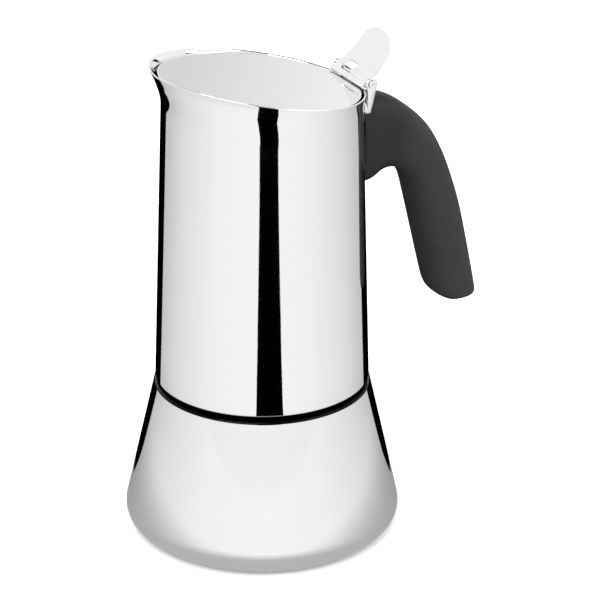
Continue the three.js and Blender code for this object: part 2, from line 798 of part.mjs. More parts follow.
function handleGrip() {
  const side = tangWidth / 2 + gripClearance;
  const crossbarBottom = bracketTop - crossbarHeight;
  const roomOuter = (z) => bracketOuter(z) + gripClearance;
  const inside = () => 1;
  const gripLow = tangHeight - 50;
  const gripHigh = rimHeight + 10;
  const can = huggingPlate(inside, bracketInner, gripLow, gripHigh, baseRadius);
  const roomBottom = bracketBottom - gripClearance;
  const plateRoom = huggingPlate(inside, roomOuter, roomBottom, bracketTop, bracketHalfWidth + gripClearance);
  const crossbarRoom = huggingPlate(inside, roomOuter, crossbarBottom - gripClearance, gripHigh, baseRadius);
  const slotEnd = tangStart + tangLength + gripClearance;
  const slotTop = tangHeight + tangThickness + gripClearance;
  const slot = block(tangStart - 3, slotEnd, -side, side, tangHeight - gripClearance, slotTop);
  const footRise = tangFootRise + gripClearance;
  const footRoom = block(tangStart - 3, tangStart + tangFoot + gripClearance, -side, side,
    tangHeight - footRise, tangHeight + footRise);
  const bore = rod(screwRadius + gripClearance, gripLow, tangHeight + tangThickness + 5, finePin);
  bore.translate(screwX, 0, 0);
  const recessTop = screwHeadBottom + screwHeadHeight + gap;
  const recess = rod(screwHeadRadius + gripClearance, gripLow, recessTop, finePin);
  recess.translate(screwX, 0, 0);
  return cut(skinned(gripRings(24), false), can, plateRoom, crossbarRoom, slot, footRoom, bore, recess);
}

function handleScrew() {
  const headTop = screwHeadBottom + screwHeadHeight;
  const screw = turned([
    [0, screwHeadBottom + 1], [1.2, screwHeadBottom + 1], [1.4, screwHeadBottom],
    [screwHeadRadius, screwHeadBottom], [screwHeadRadius, headTop], [screwRadius, headTop],
    [screwRadius, tangHeight + tangThickness + 4],
    [0, tangHeight + tangThickness + 4],
  ], finePin);
  screw.translate(screwX, 0, 0);
  return screw;
}

// ---- the pot ------------------------------------------------------------

add('base_disc', baseDisc(), plainSteel());
add('boiler_shell', boilerShell(), mirrorSteel());
add('boiler_neck', boilerNeck(), plainSteel());
add('valve_body', valveBody(), brass());
add('valve_washer', valveWasher(), silicone());
add('valve_nut', valveNut(), brass());
add('valve_plunger', valvePlunger(), plainSteel());
add('valve_spring', valveSpring(), plainSteel());
add('valve_retainer', valveRetainer(), brass());
add('funnel', funnel(), plainSteel());
add('funnel_strainer', funnelStrainer(), plainSteel());
add('gasket', gasket(), silicone());
add('filter_plate', filterPlate(), plainSteel());
add('collector_shell', collectorShell(), mirrorSteel());
add('collector_thread_ring', collectorThreadRing(), plainSteel());
add('collector_floor', collectorFloorPan(), plainSteel());
add('riser_column', riserColumn(), plainSteel());
add('column_cap', columnCap(), plainSteel());
add('lid_plate', lidPlate(), mirrorSteel());
add('lid_lever', lidLever(), mirrorSteel());
add('hinge_pin', hingePin(), plainSteel());
add('hinge_bracket', hingeBracket(), mirrorSteel());
add('handle_tang', handleTang(), plainSteel());
add('handle_grip', handleGrip(), darkPlastic());
add('handle_screw', handleScrew(), plainSteel());

export default object;
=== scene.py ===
import bpy
import bmesh
import numpy as np
from mathutils import Matrix, Vector


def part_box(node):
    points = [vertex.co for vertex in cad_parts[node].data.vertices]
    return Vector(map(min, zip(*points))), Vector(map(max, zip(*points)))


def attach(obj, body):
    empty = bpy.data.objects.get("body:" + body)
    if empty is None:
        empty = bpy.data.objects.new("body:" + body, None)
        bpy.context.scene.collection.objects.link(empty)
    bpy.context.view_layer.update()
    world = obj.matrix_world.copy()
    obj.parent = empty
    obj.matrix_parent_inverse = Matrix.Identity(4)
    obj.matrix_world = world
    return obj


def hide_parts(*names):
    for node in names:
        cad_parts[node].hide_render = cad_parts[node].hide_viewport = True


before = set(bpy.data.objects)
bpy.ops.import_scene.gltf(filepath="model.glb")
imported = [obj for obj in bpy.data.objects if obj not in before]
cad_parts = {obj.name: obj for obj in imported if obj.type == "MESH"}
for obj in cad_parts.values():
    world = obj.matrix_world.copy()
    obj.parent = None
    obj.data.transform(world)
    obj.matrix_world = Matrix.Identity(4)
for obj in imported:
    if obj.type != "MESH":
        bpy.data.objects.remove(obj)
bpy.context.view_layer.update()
millimetre = 0.001
turn = 2 * np.pi
# the dark colour of the painted reflection on the boiler's shoulder and of the painted shade on the neck's
# collar
paintedDark = (0.006, 0.006, 0.006, 1)


def span(node):
    # a CAD node's lowest and highest corners in millimetres
    low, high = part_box(node)
    return np.array(low) / millimetre, np.array(high) / millimetre


def bodyMesh(name, points, faces, uv=None):
    # one object at the origin from an array of points in millimetres and a list of faces
    mesh = bpy.data.meshes.new(name)
    mesh.from_pydata((points * millimetre).tolist(), [], faces)
    if uv is not None:
        layer = mesh.uv_layers.new(name="UVMap")
        corner = np.zeros(len(mesh.loops), np.int32)
        mesh.loops.foreach_get("vertex_index", corner)
        layer.data.foreach_set("uv", uv[corner].astype(np.float32).ravel())
    work = bmesh.new()
    work.from_mesh(mesh)
    bmesh.ops.remove_doubles(work, verts=work.verts, dist=1e-7)
    if work.calc_volume(signed=True) < 0:
        bmesh.ops.reverse_faces(work, faces=work.faces)
    work.to_mesh(mesh)
    work.free()
    mesh.polygons.foreach_set("use_smooth", np.ones(len(mesh.polygons), bool))
    piece = bpy.data.objects.new(name, mesh)
    bpy.context.scene.collection.objects.link(piece)
    return piece


def gridFaces(rows, columns, wrapRows, wrapColumns, keep=None):
    # quads between neighbouring points of a rows by columns grid
    upward = np.arange(rows - (not wrapRows))
    onward = np.arange(columns - (not wrapColumns))
    i, j = np.meshgrid(upward, onward, indexing="ij")
    below = i * columns
    above = ((i + 1) % rows) * columns
    right = (j + 1) % columns
    quads = np.stack([below + j, below + right, above + right, above + j], -1)
    if keep is not None:
        quads = quads[keep[:quads.shape[0], :quads.shape[1]]]
    return quads.reshape(-1, 4).tolist()


def gridPiece(name, points, wrapRows=False, wrapColumns=False, keep=None, uv=None):
    rows, columns = points.shape[:2]
    faces = gridFaces(rows, columns, wrapRows, wrapColumns, keep)
    return bodyMesh(name, points.reshape(-1, 3), faces, None if uv is None else uv.reshape(-1, 2))


def rounded(corners, steps=6, closed=False):
    # a polyline whose corners [a, b, radius] are arcs, with a support point beside each arc
    spots = np.array([c[:2] for c in corners], float)
    radii = [c[2] if len(c) > 2 else 0 for c in corners]
    count = len(spots)
    line = []
    for i, spot in enumerate(spots):
        ends = not closed and i in (0, count - 1)
        if ends or radii[i] == 0:
            line.append(spot)
            continue
        back = spots[i - 1] - spot
        ahead = spots[(i + 1) % count] - spot
        back, backLength = back / np.linalg.norm(back), np.linalg.norm(back)
        ahead, aheadLength = ahead / np.linalg.norm(ahead), np.linalg.norm(ahead)
        half = np.arccos(np.clip(back @ ahead, -1, 1)) / 2
        reach = radii[i] / np.tan(half)
        centre = spot + (back + ahead) / np.linalg.norm(back + ahead) * radii[i] / np.sin(half)
        start, stop = spot + back * reach, spot + ahead * reach
        a0 = np.arctan2(*(start - centre)[::-1])
        sweep = (np.arctan2(*(stop - centre)[::-1]) - a0 + np.pi) % turn - np.pi
        angles = a0 + sweep * np.linspace(0, 1, steps + 1)
        support = 0.25 * radii[i]
        if backLength > 4 * reach:
            line.append(start + back * support)
        line.extend(centre + radii[i] * np.stack([np.cos(angles), np.sin(angles)], -1))
        if aheadLength > 4 * reach:
            line.append(stop + ahead * support)
    return np.array(line)


def ringPoints(radius, angle, z):
    # x, y and z of points at a radius and an angle round the upright axis
    return np.stack([radius * np.cos(angle), radius * np.sin(angle), z + 0 * angle], -1)


def turned(name, profile, count=160, closed=False):
    # profile [radius, z] carried round +Z
    angle = np.linspace(0, turn, count, endpoint=False)
    points = ringPoints(profile[:, :1], angle, profile[:, 1:2])
    return gridPiece(name, points, wrapRows=closed, wrapColumns=True)


def modify(piece, kind, **settings):
    # a modifier of one kind with the settings given
    modifier = piece.modifiers.new(kind.title(), kind)
    for key, value in settings.items():
        setattr(modifier, key, value)
    return modifier


def settle(piece):
    # the modifiers are made part of the mesh
    graph = bpy.context.evaluated_depsgraph_get()
    mesh = bpy.data.meshes.new_from_object(piece.evaluated_get(graph))
    piece.modifiers.clear()
    piece.data = mesh
    return piece


def sheet(name, points, thickness, bevel=0.12, keep=None, wrapColumns=False, wrapRows=False):
    # a surface given a wall on both sides of it, with softened edges
    piece = gridPiece(name, points, wrapRows=wrapRows, wrapColumns=wrapColumns, keep=keep)
    modify(piece, "SOLIDIFY", thickness=thickness * millimetre, offset=0, use_even_offset=True)
    if bevel:
        modify(piece, "BEVEL", width=bevel * millimetre, segments=3, limit_method="ANGLE", angle_limit=0.8)
    return settle(piece)


def shifted(piece, x, y, z):
    # the mesh itself is moved, so that the object stays at the origin
    piece.data.transform(Matrix.Translation(Vector((x, y, z)) * millimetre))
    return piece


def carved(piece, tool):
    # the tool's shape is cut out of the piece
    modify(piece, "BOOLEAN", operation="DIFFERENCE", solver="EXACT", object=tool)
    settle(piece)
    bpy.data.objects.remove(tool)
    return piece


def merged(name, pieces):
    # several meshes as one object
    work = bmesh.new()
    for piece in pieces:
        work.from_mesh(piece.data)
        bpy.data.objects.remove(piece)
    mesh = bpy.data.meshes.new(name)
    work.to_mesh(mesh)
    work.free()
    piece = bpy.data.objects.new(name, mesh)
    bpy.context.scene.collection.objects.link(piece)
    return piece


def finished(piece, body, material, slot, *stands):
    # the piece gets its finish, rides its body, and stands in for the CAD nodes named last
    piece.data.materials.clear()
    piece.data.materials.append(material)
    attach(piece, body)
    if stands:
        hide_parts(*stands)
    return piece


class Wire:
    # a socket that can be used in sums
    def __init__(self, paint, socket):
        self.paint = paint
        self.socket = socket

    def maths(self, operation, *values):
        return self.paint.node("ShaderNodeMath", {"operation": operation}, dict(enumerate(values))).out()

    def __add__(self, other):
        return self.maths("ADD", self, other)

    __radd__ = __add__

    def __mul__(self, other):
        return self.maths("MULTIPLY", self, other)

    __rmul__ = __mul__

    def __sub__(self, other):
        return self.maths("SUBTRACT", self, other)

    def __rsub__(self, other):
        return self.maths("SUBTRACT", other, self)

    def __truediv__(self, other):
        return self.maths("DIVIDE", self, other)

    def __pow__(self, other):
        return self.maths("POWER", self, other)

    def wave(self):
        return self.maths("SINE", self)

    def size(self):
        return self.maths("ABSOLUTE", self)

    def least(self, other):
        return self.maths("MINIMUM", self, other)


class Step:
    # a node and its outputs
    def __init__(self, paint, node):
        self.paint = paint
        self.node = node

    def out(self, name=0):
        return Wire(self.paint, self.node.outputs[name])


class Paint:
    # a material, or the world, built node by node
    def __init__(self, name, tree=None):
        if tree is None:
            self.material = bpy.data.materials.new(name)
            self.material.use_nodes = True
            tree = self.material.node_tree
        self.tree = tree
        self.tree.nodes.clear()

    def node(self, kind, settings=None, sockets=None):
        node = self.tree.nodes.new(kind)
        for key, value in (settings or {}).items():
            if key == "stops":
                self.stops(node.color_ramp, value)
            else:
                setattr(node, key, value)
        for key, value in (sockets or {}).items():
            if isinstance(value, Wire):
                self.tree.links.new(value.socket, node.inputs[key])
            else:
                node.inputs[key].default_value = value
        return Step(self, node)

    def stops(self, ramp, values):
        while len(ramp.elements) < len(values):
            ramp.elements.new(0.5)
        for element, (place, shade) in zip(ramp.elements, values):
            element.position = place
            element.color = shade if isinstance(shade, tuple) else (shade, shade, shade, 1)

    def place(self):
        return self.node("ShaderNodeTexCoord").out("Object")

    def parts(self, vector):
        step = self.node("ShaderNodeSeparateXYZ", None, {0: vector})
        return step.out(0), step.out(1), step.out(2)

    def vector(self, x, y, z):
        return self.node("ShaderNodeCombineXYZ", None, {0: x, 1: y, 2: z}).out()

    def noise(self, vector, scale, detail=3.0):
        sockets = {"Vector": vector, "Scale": scale, "Detail": detail}
        return self.node("ShaderNodeTexNoise", None, sockets).out()

    def ramp(self, factor, *stops):
        return self.node("ShaderNodeValToRGB", {"stops": stops}, {0: factor}).out()

    def between(self, factor, low, high):
        return self.node("ShaderNodeMapRange", None, {"Value": factor, "To Min": low, "To Max": high}).out()

    def bump(self, height, strength, distance):
        sockets = {"Strength": strength, "Distance": distance, "Height": height}
        return self.node("ShaderNodeBump", None, sockets).out()

    def surface(self, **values):
        sockets = {key.replace("_", " "): value for key, value in values.items()}
        step = self.node("ShaderNodeBsdfPrincipled", None, sockets)
        output = self.tree.nodes.new("ShaderNodeOutputMaterial")
        self.tree.links.new(step.node.outputs[0], output.inputs[0])
        return self.material


def ringLines(paint, fineness):
    # fine lines that run round the pot's axis, from the distance to the axis and the height
    x, y, z = paint.parts(paint.place())
    length = paint.node("ShaderNodeVectorMath", {"operation": "LENGTH"}, {0: paint.vector(x, y, 0.0)})
    away = length.out("Value")
    return paint.noise(paint.vector(away * fineness, z * fineness, 0.0), 1.0, 4.0)


def aboveHeight(paint, start, width):
    # 0 below a height and 1 above it, with a short ramp between, in millimetres
    height = paint.parts(paint.place())[2]
    return paint.node("ShaderNodeMapRange", None, {
        "Value": height, "From Min": start * millimetre, "From Max": (start + width) * millimetre,
    }).out()


def mirrorSteel(name, darkFrom=None):
    # polished steel, painted dark above a height in millimetres if one is given: a painted dark reflection
    values = {
        "tint": (0.86, 0.865, 0.87, 1), "polish": 0.025, "smear": 0.05, "smearSize": 45,
        "lines": 2500, "lineDepth": 0.012,
    }
    paint = Paint(name)
    tint = values["tint"]
    if darkFrom is not None:
        # painted reflection: above the height the colour turns dark
        tint = paint.ramp(aboveHeight(paint, darkFrom, 0.2), (0.0, tint), (1.0, paintedDark))
    smear = paint.noise(paint.place(), values["smearSize"], 4.0)
    lines = ringLines(paint, values["lines"])
    rough = paint.between(smear, values["polish"], values["smear"])
    return paint.surface(
        Base_Color=tint, Metallic=1.0, Roughness=rough + lines * values["lineDepth"],
        Normal=paint.bump(lines, 0.05, 0.00001),
    )


def satinSteel():
    # brushed steel with fine turning lines and a faint cloudiness
    values = {"lines": 3500, "low": 0.2, "high": 0.42}
    paint = Paint("satin_steel")
    lines = ringLines(paint, values["lines"])
    cloud = paint.noise(paint.place(), 60.0)
    shade = paint.ramp(cloud, (0.3, (0.56, 0.56, 0.57, 1)), (0.7, (0.68, 0.68, 0.685, 1)))
    return paint.surface(
        Base_Color=shade, Metallic=1.0, Roughness=paint.between(lines, values["low"], values["high"]),
        Normal=paint.bump(lines, 0.25, 0.00004),
    )


def shadedSteel(darkBelow):
    # satin steel painted dark below a height in millimetres: painted shade
    values = {"lines": 3500, "low": 0.25, "high": 0.45, "tint": (0.62, 0.62, 0.63, 1)}
    paint = Paint("neck_steel")
    lines = ringLines(paint, values["lines"])
    # painted shade: below the height the colour turns dark
    shade = paint.ramp(aboveHeight(paint, darkBelow, 0.4), (0.0, paintedDark), (1.0, values["tint"]))
    return paint.surface(
        Base_Color=shade, Metallic=1.0, Roughness=paint.between(lines, values["low"], values["high"]),
        Normal=paint.bump(lines, 0.25, 0.00004),
    )


def turnedBrass():
    # brass with a fine grain and patches of tarnish
    paint = Paint("valve_brass")
    grain = paint.noise(paint.place(), 900.0, 5.0)
    tarnish = paint.noise(paint.place(), 160.0)
    shade = paint.ramp(tarnish, (0.35, (0.42, 0.27, 0.09, 1)), (0.65, (0.66, 0.47, 0.19, 1)))
    return paint.surface(
        Base_Color=shade, Metallic=1.0, Roughness=paint.between(grain, 0.18, 0.4),
        Normal=paint.bump(grain, 0.2, 0.00003),
    )


def siliconeRubber():
    # off-white rubber, dull and slightly cloudy
    paint = Paint("seal")
    cloud = paint.noise(paint.place(), 220.0)
    shade = paint.ramp(cloud, (0.3, (0.62, 0.6, 0.55, 1)), (0.7, (0.7, 0.69, 0.64, 1)))
    return paint.surface(
        Base_Color=shade, Roughness=paint.between(cloud, 0.45, 0.65), Normal=paint.bump(cloud, 0.15, 0.0001),
    )


def gripPlastic():
    # UV is in millimetres: along the grip, then round it. Grooves every pitch make small raised squares, and
    # the grooves are painted darker as painted shade.
    values = {
        "pitch": 1.3, "dark": (0.003, 0.003, 0.0032, 1), "light": (0.026, 0.026, 0.027, 1),
        "plainUntil": 12.0, "groovedFrom": 26.0,  # the root is smooth, in millimetres along the grip
    }
    paint = Paint("grip_plastic")
    along, around, _ = paint.parts(paint.node("ShaderNodeUVMap", {"uv_map": "UVMap"}).out())
    frequency = np.pi / values["pitch"]
    groove = (along * frequency).wave().size().least((around * frequency).wave().size())
    square = paint.ramp(groove, (0.05, 0.0), (0.45, 1.0))
    reach = paint.node("ShaderNodeMapRange", {"interpolation_type": "SMOOTHSTEP"}, {
        "Value": along, "From Min": values["plainUntil"], "From Max": values["groovedFrom"],
    }).out()
    grain = paint.noise(paint.place(), 3000.0, 2.0)
    cloud = paint.noise(paint.place(), 90.0)
    # painted shade: the grooves between the raised squares get the darker colour, and so does the smooth
    # root; the cloud adds a random tone
    tone = square * reach * 0.55 + cloud * 0.3 + 0.1
    shade = paint.ramp(tone, (0.0, values["dark"]), (1.0, values["light"]))
    height = square * reach + grain * 0.12
    return paint.surface(
        Base_Color=shade, Roughness=paint.between(cloud, 0.42, 0.58) + (1 - square) * 0.1,
        Specular_IOR_Level=0.22, Normal=paint.bump(height, 0.8, 0.00012),
    )


steel = mirrorSteel("mirror_steel")
# the boiler's shoulder just under the collector is painted dark: a painted reflection of the dark parts above
# it
boilerSteel = mirrorSteel("boiler_steel", 58.0)  # the shoulder under the collector is dark
satin = satinSteel()
brassy = turnedBrass()
silicone = siliconeRubber()
plastic = gripPlastic()
# the neck's collar, in the gap between the boiler and the collector, is painted dark below this height:
# painted shade
collarSteel = shadedSteel(62.7)
print("materials made")

boiler = {
    "lean": np.tan(np.radians(12.82)), "shoulder": 41.1, "hole": 36.6, "rounding": 6.8, "edge": 1.2,
    "standoff": 0.4, "wall": 1.0, "recess": 44.0, "play": 0.3, "innerInset": 3.4, "innerSharper": 2,
    "count": 256,
}
baseDisc = {"dimple": 9, "dimpleSlope": 0.3, "dimpleDepth": 0.15, "edge": 0.7}
shellHigh = span("boiler_shell")[1]
discHigh = span("base_disc")[1]
neckLow, neckHigh = span("boiler_neck")


def makeBoiler():
    # flat foot, large rounding, straight cone, small rounding into the shoulder, and the same again inside
    top, foot, wall, edge = shellHigh[2], boiler["standoff"], boiler["wall"], boiler["edge"]
    shoulder, hole = boiler["shoulder"], boiler["hole"]
    cone = shoulder + (top - edge - foot) * boiler["lean"]
    rim = shoulder - edge * boiler["lean"]
    floor = discHigh[2] + boiler["play"]
    recess = boiler["recess"] + boiler["play"]
    profile = rounded([
        [0, floor], [recess, floor, 0.3], [recess, foot, 0.3], [cone, foot, boiler["rounding"]],
        [rim, top, edge], [hole, top, 0.3], [hole, top - wall, 0.3], [rim - wall, top - wall, 0.6],
        [cone - boiler["innerInset"], floor + wall, boiler["rounding"] - boiler["innerSharper"]],
        [0, floor + wall],
    ], steps=14)
    return turned("boiler_skin", profile, boiler["count"])


def makeBaseDisc():
    # a flat disc with a shallow round dimple in the middle of its underside
    radius, top = discHigh[0], discHigh[2]
    dimple, depth = baseDisc["dimple"], baseDisc["dimpleDepth"]
    return turned("base_disc_skin", rounded([
        [0, depth], [dimple, depth, 0.1], [dimple + baseDisc["dimpleSlope"], 0, 0.1],
        [radius, 0, baseDisc["edge"]], [radius, top, 0.2], [0, top],
    ]), 192)


def threadCrest(angle, height, pitch, depth):
    # a helical ridge: a flattened cosine of the height less the share of a turn, over the pitch
    phase = (height / pitch - angle / turn) * turn
    return depth * np.clip(0.5 + 0.9 * np.cos(phase), 0, 1)


neck = {"inner": 33.4, "outer": 35.6, "collarHeight": 2.8, "pitch": 3.0, "depth": 0.5}


def makeNeck():
    # plain collar below, threaded wall above; the thread fades in and out at its ends
    inner, outer, collar = neck["inner"], neck["outer"], neckHigh[0]
    bottom, top = neckLow[2], neckHigh[2]
    collarTop = bottom + neck["collarHeight"]
    height = np.linspace(collarTop + 0.3, top - 0.5, 90)
    section = np.concatenate([
        rounded([[inner, bottom], [collar, bottom, 0.3], [collar, collarTop, 0.3], [outer, collarTop]], 4),
        np.stack([0 * height + outer, height], -1),
        rounded([[outer, top - 0.3], [outer, top, 0.3], [inner, top, 0.3], [inner, bottom + 1]], 4),
    ])
    angle = np.linspace(0, turn, 180, endpoint=False)
    z = np.repeat(section[:, 1:], len(angle), 1)
    fade = np.clip((z - collarTop - 0.5) / 1.5, 0, 1) * np.clip((top - 0.4 - z) / 1.2, 0, 1)
    threaded = (np.abs(section[:, 0] - outer) < 1e-6)[:, None]
    radius = section[:, :1] + threaded * fade * threadCrest(angle, z, neck["pitch"], neck["depth"])
    return gridPiece("neck_skin", ringPoints(radius, angle, z), wrapRows=True, wrapColumns=True)


finished(makeBoiler(), "boiler", boilerSteel, "mirror_steel", "boiler_shell")
finished(makeBaseDisc(), "boiler", satin, "satin_steel", "base_disc")
finished(makeNeck(), "boiler", collarSteel, "satin_steel", "boiler_neck")
print("boiler made")

collector = {
    "bottomRadius": 40.5, "topRadius": 36.7, "wall": 0.9, "rim": 178.0, "slope": 0.172,
    "lipDepth": 6.0, "lipFlare": 1.1, "spoutReach": 5.4, "spoutRise": 1.4, "spoutDepth": 16.3,
    "spoutAngle": 0.86, "count": 320,
}
canLow = span("collector_shell")[0]


def rimAt(angle):
    # a sloping plane, with a smooth rise towards the spout
    towardsSpout = (1 - np.cos(angle)) / 2
    fall = collector["slope"] * collector["topRadius"] * np.cos(angle)
    return collector["rim"] - fall + collector["spoutRise"] * towardsSpout ** 2.8


def beakAt(angle):
    # 1 at the spout, falling off smoothly to either side
    fromSpout = np.abs(np.pi - angle % turn)
    return np.exp(-(fromSpout / collector["spoutAngle"]) ** 1.3)


def bodyRadius(z):
    # the plain taper of the can, without lip and spout
    share = (z - canLow[2]) / (collector["rim"] - canLow[2])
    return collector["bottomRadius"] + (collector["topRadius"] - collector["bottomRadius"]) * share


def canRadius(angle, z):
    # a slight taper, a square-law lip at the rim and a spout that swells out in a soft curve
    below = rimAt(angle) - z
    lip = np.clip(1 - below / collector["lipDepth"], 0, 1) ** 2
    rise = np.clip(1 - below / collector["spoutDepth"], 0, 1)
    spout = rise ** 2 * (2.5 - 1.5 * rise)
    return bodyRadius(z) + collector["lipFlare"] * lip + collector["spoutReach"] * spout * beakAt(angle)


def canAngles(count):
    # closer together near the spout
    share = np.arange(count) / count * 2 - 1
    return np.pi + np.pi * (0.7 * share + 0.3 * share ** 3)


def makeCan():
    # rows run up the outside, over the rounded rim, down the inside and round the bottom edge
    angle = canAngles(collector["count"])
    wall = collector["wall"]
    half = wall / 2
    low = np.linspace(0, 1, 30)
    low = np.concatenate([[0.003], low[1:-1]])
    high = collector["spoutDepth"] * (1 - np.linspace(0, 1, 46))
    high = high[high > half]
    bend = np.linspace(0, np.pi, 11)
    rim = rimAt(angle)
    spring = rim - collector["spoutDepth"]

    def row(z, inset):
        return ringPoints(canRadius(angle, np.minimum(z, rim)) - inset, angle, z)

    def side(inset, upwards):
        rows = [row(canLow[2] + half + share * (spring - canLow[2] - half), inset) for share in low]
        rows += [row(rim - depth, inset) for depth in high]
        return rows if upwards else rows[::-1]

    rows = side(0, True)
    rows += [row(rim - half + half * np.sin(a), half - half * np.cos(a)) for a in bend]
    rows += side(wall, False)
    rows += [row(canLow[2] + half - half * np.sin(a), half + half * np.cos(a)) for a in bend]
    return gridPiece("collector_skin", np.array(rows), wrapRows=True, wrapColumns=True)


finished(makeCan(), "collector", steel, "mirror_steel", "collector_shell")
print("collector made")

lid = {"radius": 36.2, "thickness": 0.8, "height": 177.2, "slope": 0.145, "beak": 2.7, "edge": 0.3}


def makeLid():
    # a flat sloping plate: its outline is a circle with a small beak, its edge is rounded
    angle = canAngles(320)
    outline = lid["radius"] + lid["beak"] * beakAt(angle)
    thick, edge = lid["thickness"], lid["edge"]
    share = np.array([0, 0.4, 0.8, 0.95, 0.985])
    bend = np.linspace(0, np.pi / 2, 6)
    inset = np.concatenate([edge - edge * np.sin(bend), edge - edge * np.cos(bend)])
    drop = np.concatenate([edge - edge * np.cos(bend), thick - edge + edge * np.sin(bend)])
    rows = [(outline * s, 0.0) for s in share]
    rows += [(outline - i, d) for i, d in zip(inset, drop)]
    rows += [(outline * s, thick) for s in share[::-1]]
    points = []
    for radius, fall in rows:
        x, y = radius * np.cos(angle), radius * np.sin(angle)
        points.append(np.stack([x, y, lid["height"] - lid["slope"] * x - fall], -1))
    return gridPiece("lid_skin", np.array(points), wrapColumns=True)


finished(makeLid(), "lid", steel, "mirror_steel", "lid_plate")

hinge = {
    "x": 38.4, "z": 173.9, "pin": 1.0, "play": 0.25,
    "head": 0.45, "headThickness": 0.5, "hollow": 0.6, "hollowDepth": 1.0,
}
lever = {
    "thickness": 0.7, "halfWidth": 12.0, "taper": 1.9, "tip": 0.72, "clear": 0.3,
    "window": 7.3, "windowBack": 1.9, "windowFront": 2, "windowFloor": 0.35,
    "knuckle": 8.2, "knuckleSide": -2.9, "roll": 0.5, "rollStart": 85, "rollSweep": 325,
}


def knotMix(t, start, stop, first, second):
    # straight mix of two points for t between two knots
    return (stop - t) / (stop - start) * first + (t - start) / (stop - start) * second


def smoothPath(places, count, share=None):
    # centripetal Catmull-Rom through the places, then even steps by length
    places = np.array(places, float)
    ends = np.vstack([2 * places[0] - places[1], places, 2 * places[-1] - places[-2]])
    knots = np.concatenate([[0], np.cumsum(np.linalg.norm(np.diff(ends, axis=0), axis=1) ** 0.5)])
    line = []
    for i in range(1, len(ends) - 2):
        t = np.linspace(knots[i], knots[i + 1], 40, endpoint=i == len(ends) - 3)[:, None]
        p, k = ends[i - 1:i + 3], knots[i - 1:i + 3]
        a = [knotMix(t, k[j], k[j + 1], p[j], p[j + 1]) for j in range(3)]
        b = [knotMix(t, k[j], k[j + 2], a[j], a[j + 1]) for j in range(2)]
        line.append(knotMix(t, k[1], k[2], b[0], b[1]))
    line = np.concatenate(line)
    length = np.concatenate([[0], np.cumsum(np.linalg.norm(np.diff(line, axis=0), axis=1))])
    wanted = np.linspace(0, 1, count) if share is None else share
    return np.stack([np.interp(wanted * length[-1], length, line[:, i]) for i in range(line.shape[1])], -1)


def makeLever():
    # a folded strip: side view along the path, half width falling slowly to a round tip,
    # a window near the fold, and a tongue cut from it that curls round the pin
    foot = lid["height"] - lid["slope"] * (lid["radius"] - 1) + lever["clear"] + lever["thickness"] / 2
    x, z = hinge["x"], hinge["z"]
    places = [
        [x - 1.9, foot], [x - 2.9, foot], [x - 3.45, foot + 0.15], [x - 3.65, foot + 0.5],
        [x - 3.45, foot + 0.9], [x - 1.75, z + 0.25], [x - 0.85, z + 1.5], [x + 0.5, z + 2.15],
        [x + 2.1, z + 2.8], [x + 5.3, z + 6.1], [x + 7.9, z + 9.4], [x + 9.6, z + 12.5],
        [x + 10.6, z + 15.8],
    ]
    share = 1 - (1 - np.linspace(0, 1, 130)) ** 1.25
    path = smoothPath(places, 130, share)
    fall = np.clip((share - 0.35) / 0.45, 0, 1)
    width = lever["halfWidth"] - lever["taper"] * fall ** 2 * (3 - 2 * fall)
    tip = np.clip((share - lever["tip"]) / (1 - lever["tip"]), 0, 1)
    width = width * np.sqrt(np.maximum(0.0004, 1 - tip ** 2.4))
    inner = lever["window"] / lever["halfWidth"]
    sides = np.linspace(inner, 1, 10)
    across = np.concatenate([-sides[::-1], np.linspace(-inner, inner, 24)[1:-1], sides])
    points = np.stack([
        path[:, :1] + 0 * across, width[:, None] * across, path[:, 1:] + 0 * across,
    ], -1)
    middle = (path[1:] + path[:-1]) / 2
    inWindow = (middle[:, 0] > x - lever["windowBack"]) & (middle[:, 0] < x + lever["windowFront"])
    inWindow = inWindow & (middle[:, 1] > z - lever["windowFloor"])
    centre = (across[1:] + across[:-1]) / 2
    keep = ~(inWindow[:, None] & (np.abs(centre) < inner)[None, :])
    strip = sheet("lever_strip", points, lever["thickness"], 0.12, keep=keep)
    radius = hinge["pin"] + hinge["play"] + lever["roll"] / 2
    angles = np.radians(np.linspace(lever["rollStart"], lever["rollStart"] + lever["rollSweep"], 44))
    roll = np.stack([x + radius * np.cos(angles), z + radius * np.sin(angles)], -1)
    tongue = np.concatenate([[[x + 2.35, z + 3.05], [x + 1.1, z + 2.15]], roll])
    tongue = smoothPath(tongue, 80)
    side = lever["knuckleSide"] + np.linspace(-1, 1, 12) * lever["knuckle"] / 2
    points = np.stack([tongue[:, :1] + 0 * side, 0 * tongue[:, :1] + side, tongue[:, 1:] + 0 * side], -1)
    curl = sheet("lever_curl", points, lever["roll"], 0.1)
    return merged("lever_skin", [strip, curl])


finished(makeLever(), "lid", steel, "mirror_steel", "lid_lever")


def makePin():
    # a tubular rivet: a plain pin whose rolled heads leave a small hollow at each end
    reach, radius = span("hinge_pin")[1][1], hinge["pin"]
    head, hollow = radius + hinge["head"], hinge["hollow"]
    under, deep = reach - hinge["headThickness"], reach - hinge["hollowDepth"]
    profile = rounded([
        [0, -deep], [hollow, -deep, 0.1], [hollow, -reach, 0.15], [head, -reach, 0.25],
        [head, -under, 0.15], [radius, -under], [radius, under], [head, under, 0.15],
        [head, reach, 0.25], [hollow, reach, 0.15], [hollow, deep, 0.1], [0, deep],
    ], 4)
    angle = np.linspace(0, turn, 48, endpoint=False)
    r, y = profile[:, :1], profile[:, 1:]
    points = np.stack([hinge["x"] + r * np.cos(angle), y + 0 * angle, hinge["z"] + r * np.sin(angle)], -1)
    return gridPiece("pin_skin", points, wrapColumns=True)


finished(makePin(), "collector", steel, "mirror_steel", "hinge_pin")

bracket = {
    "bottom": 136.0, "top": 166.0, "thickness": 1.0, "halfWidth": 8.5, "crossbar": 3.2, "clear": 0.45,
    "corner": 3, "flare": 0.8,
    "earThickness": 0.8, "earFace": 12.4, "earRadius": 2.3, "earArm": 2.2, "earWaist": 0.9,
}


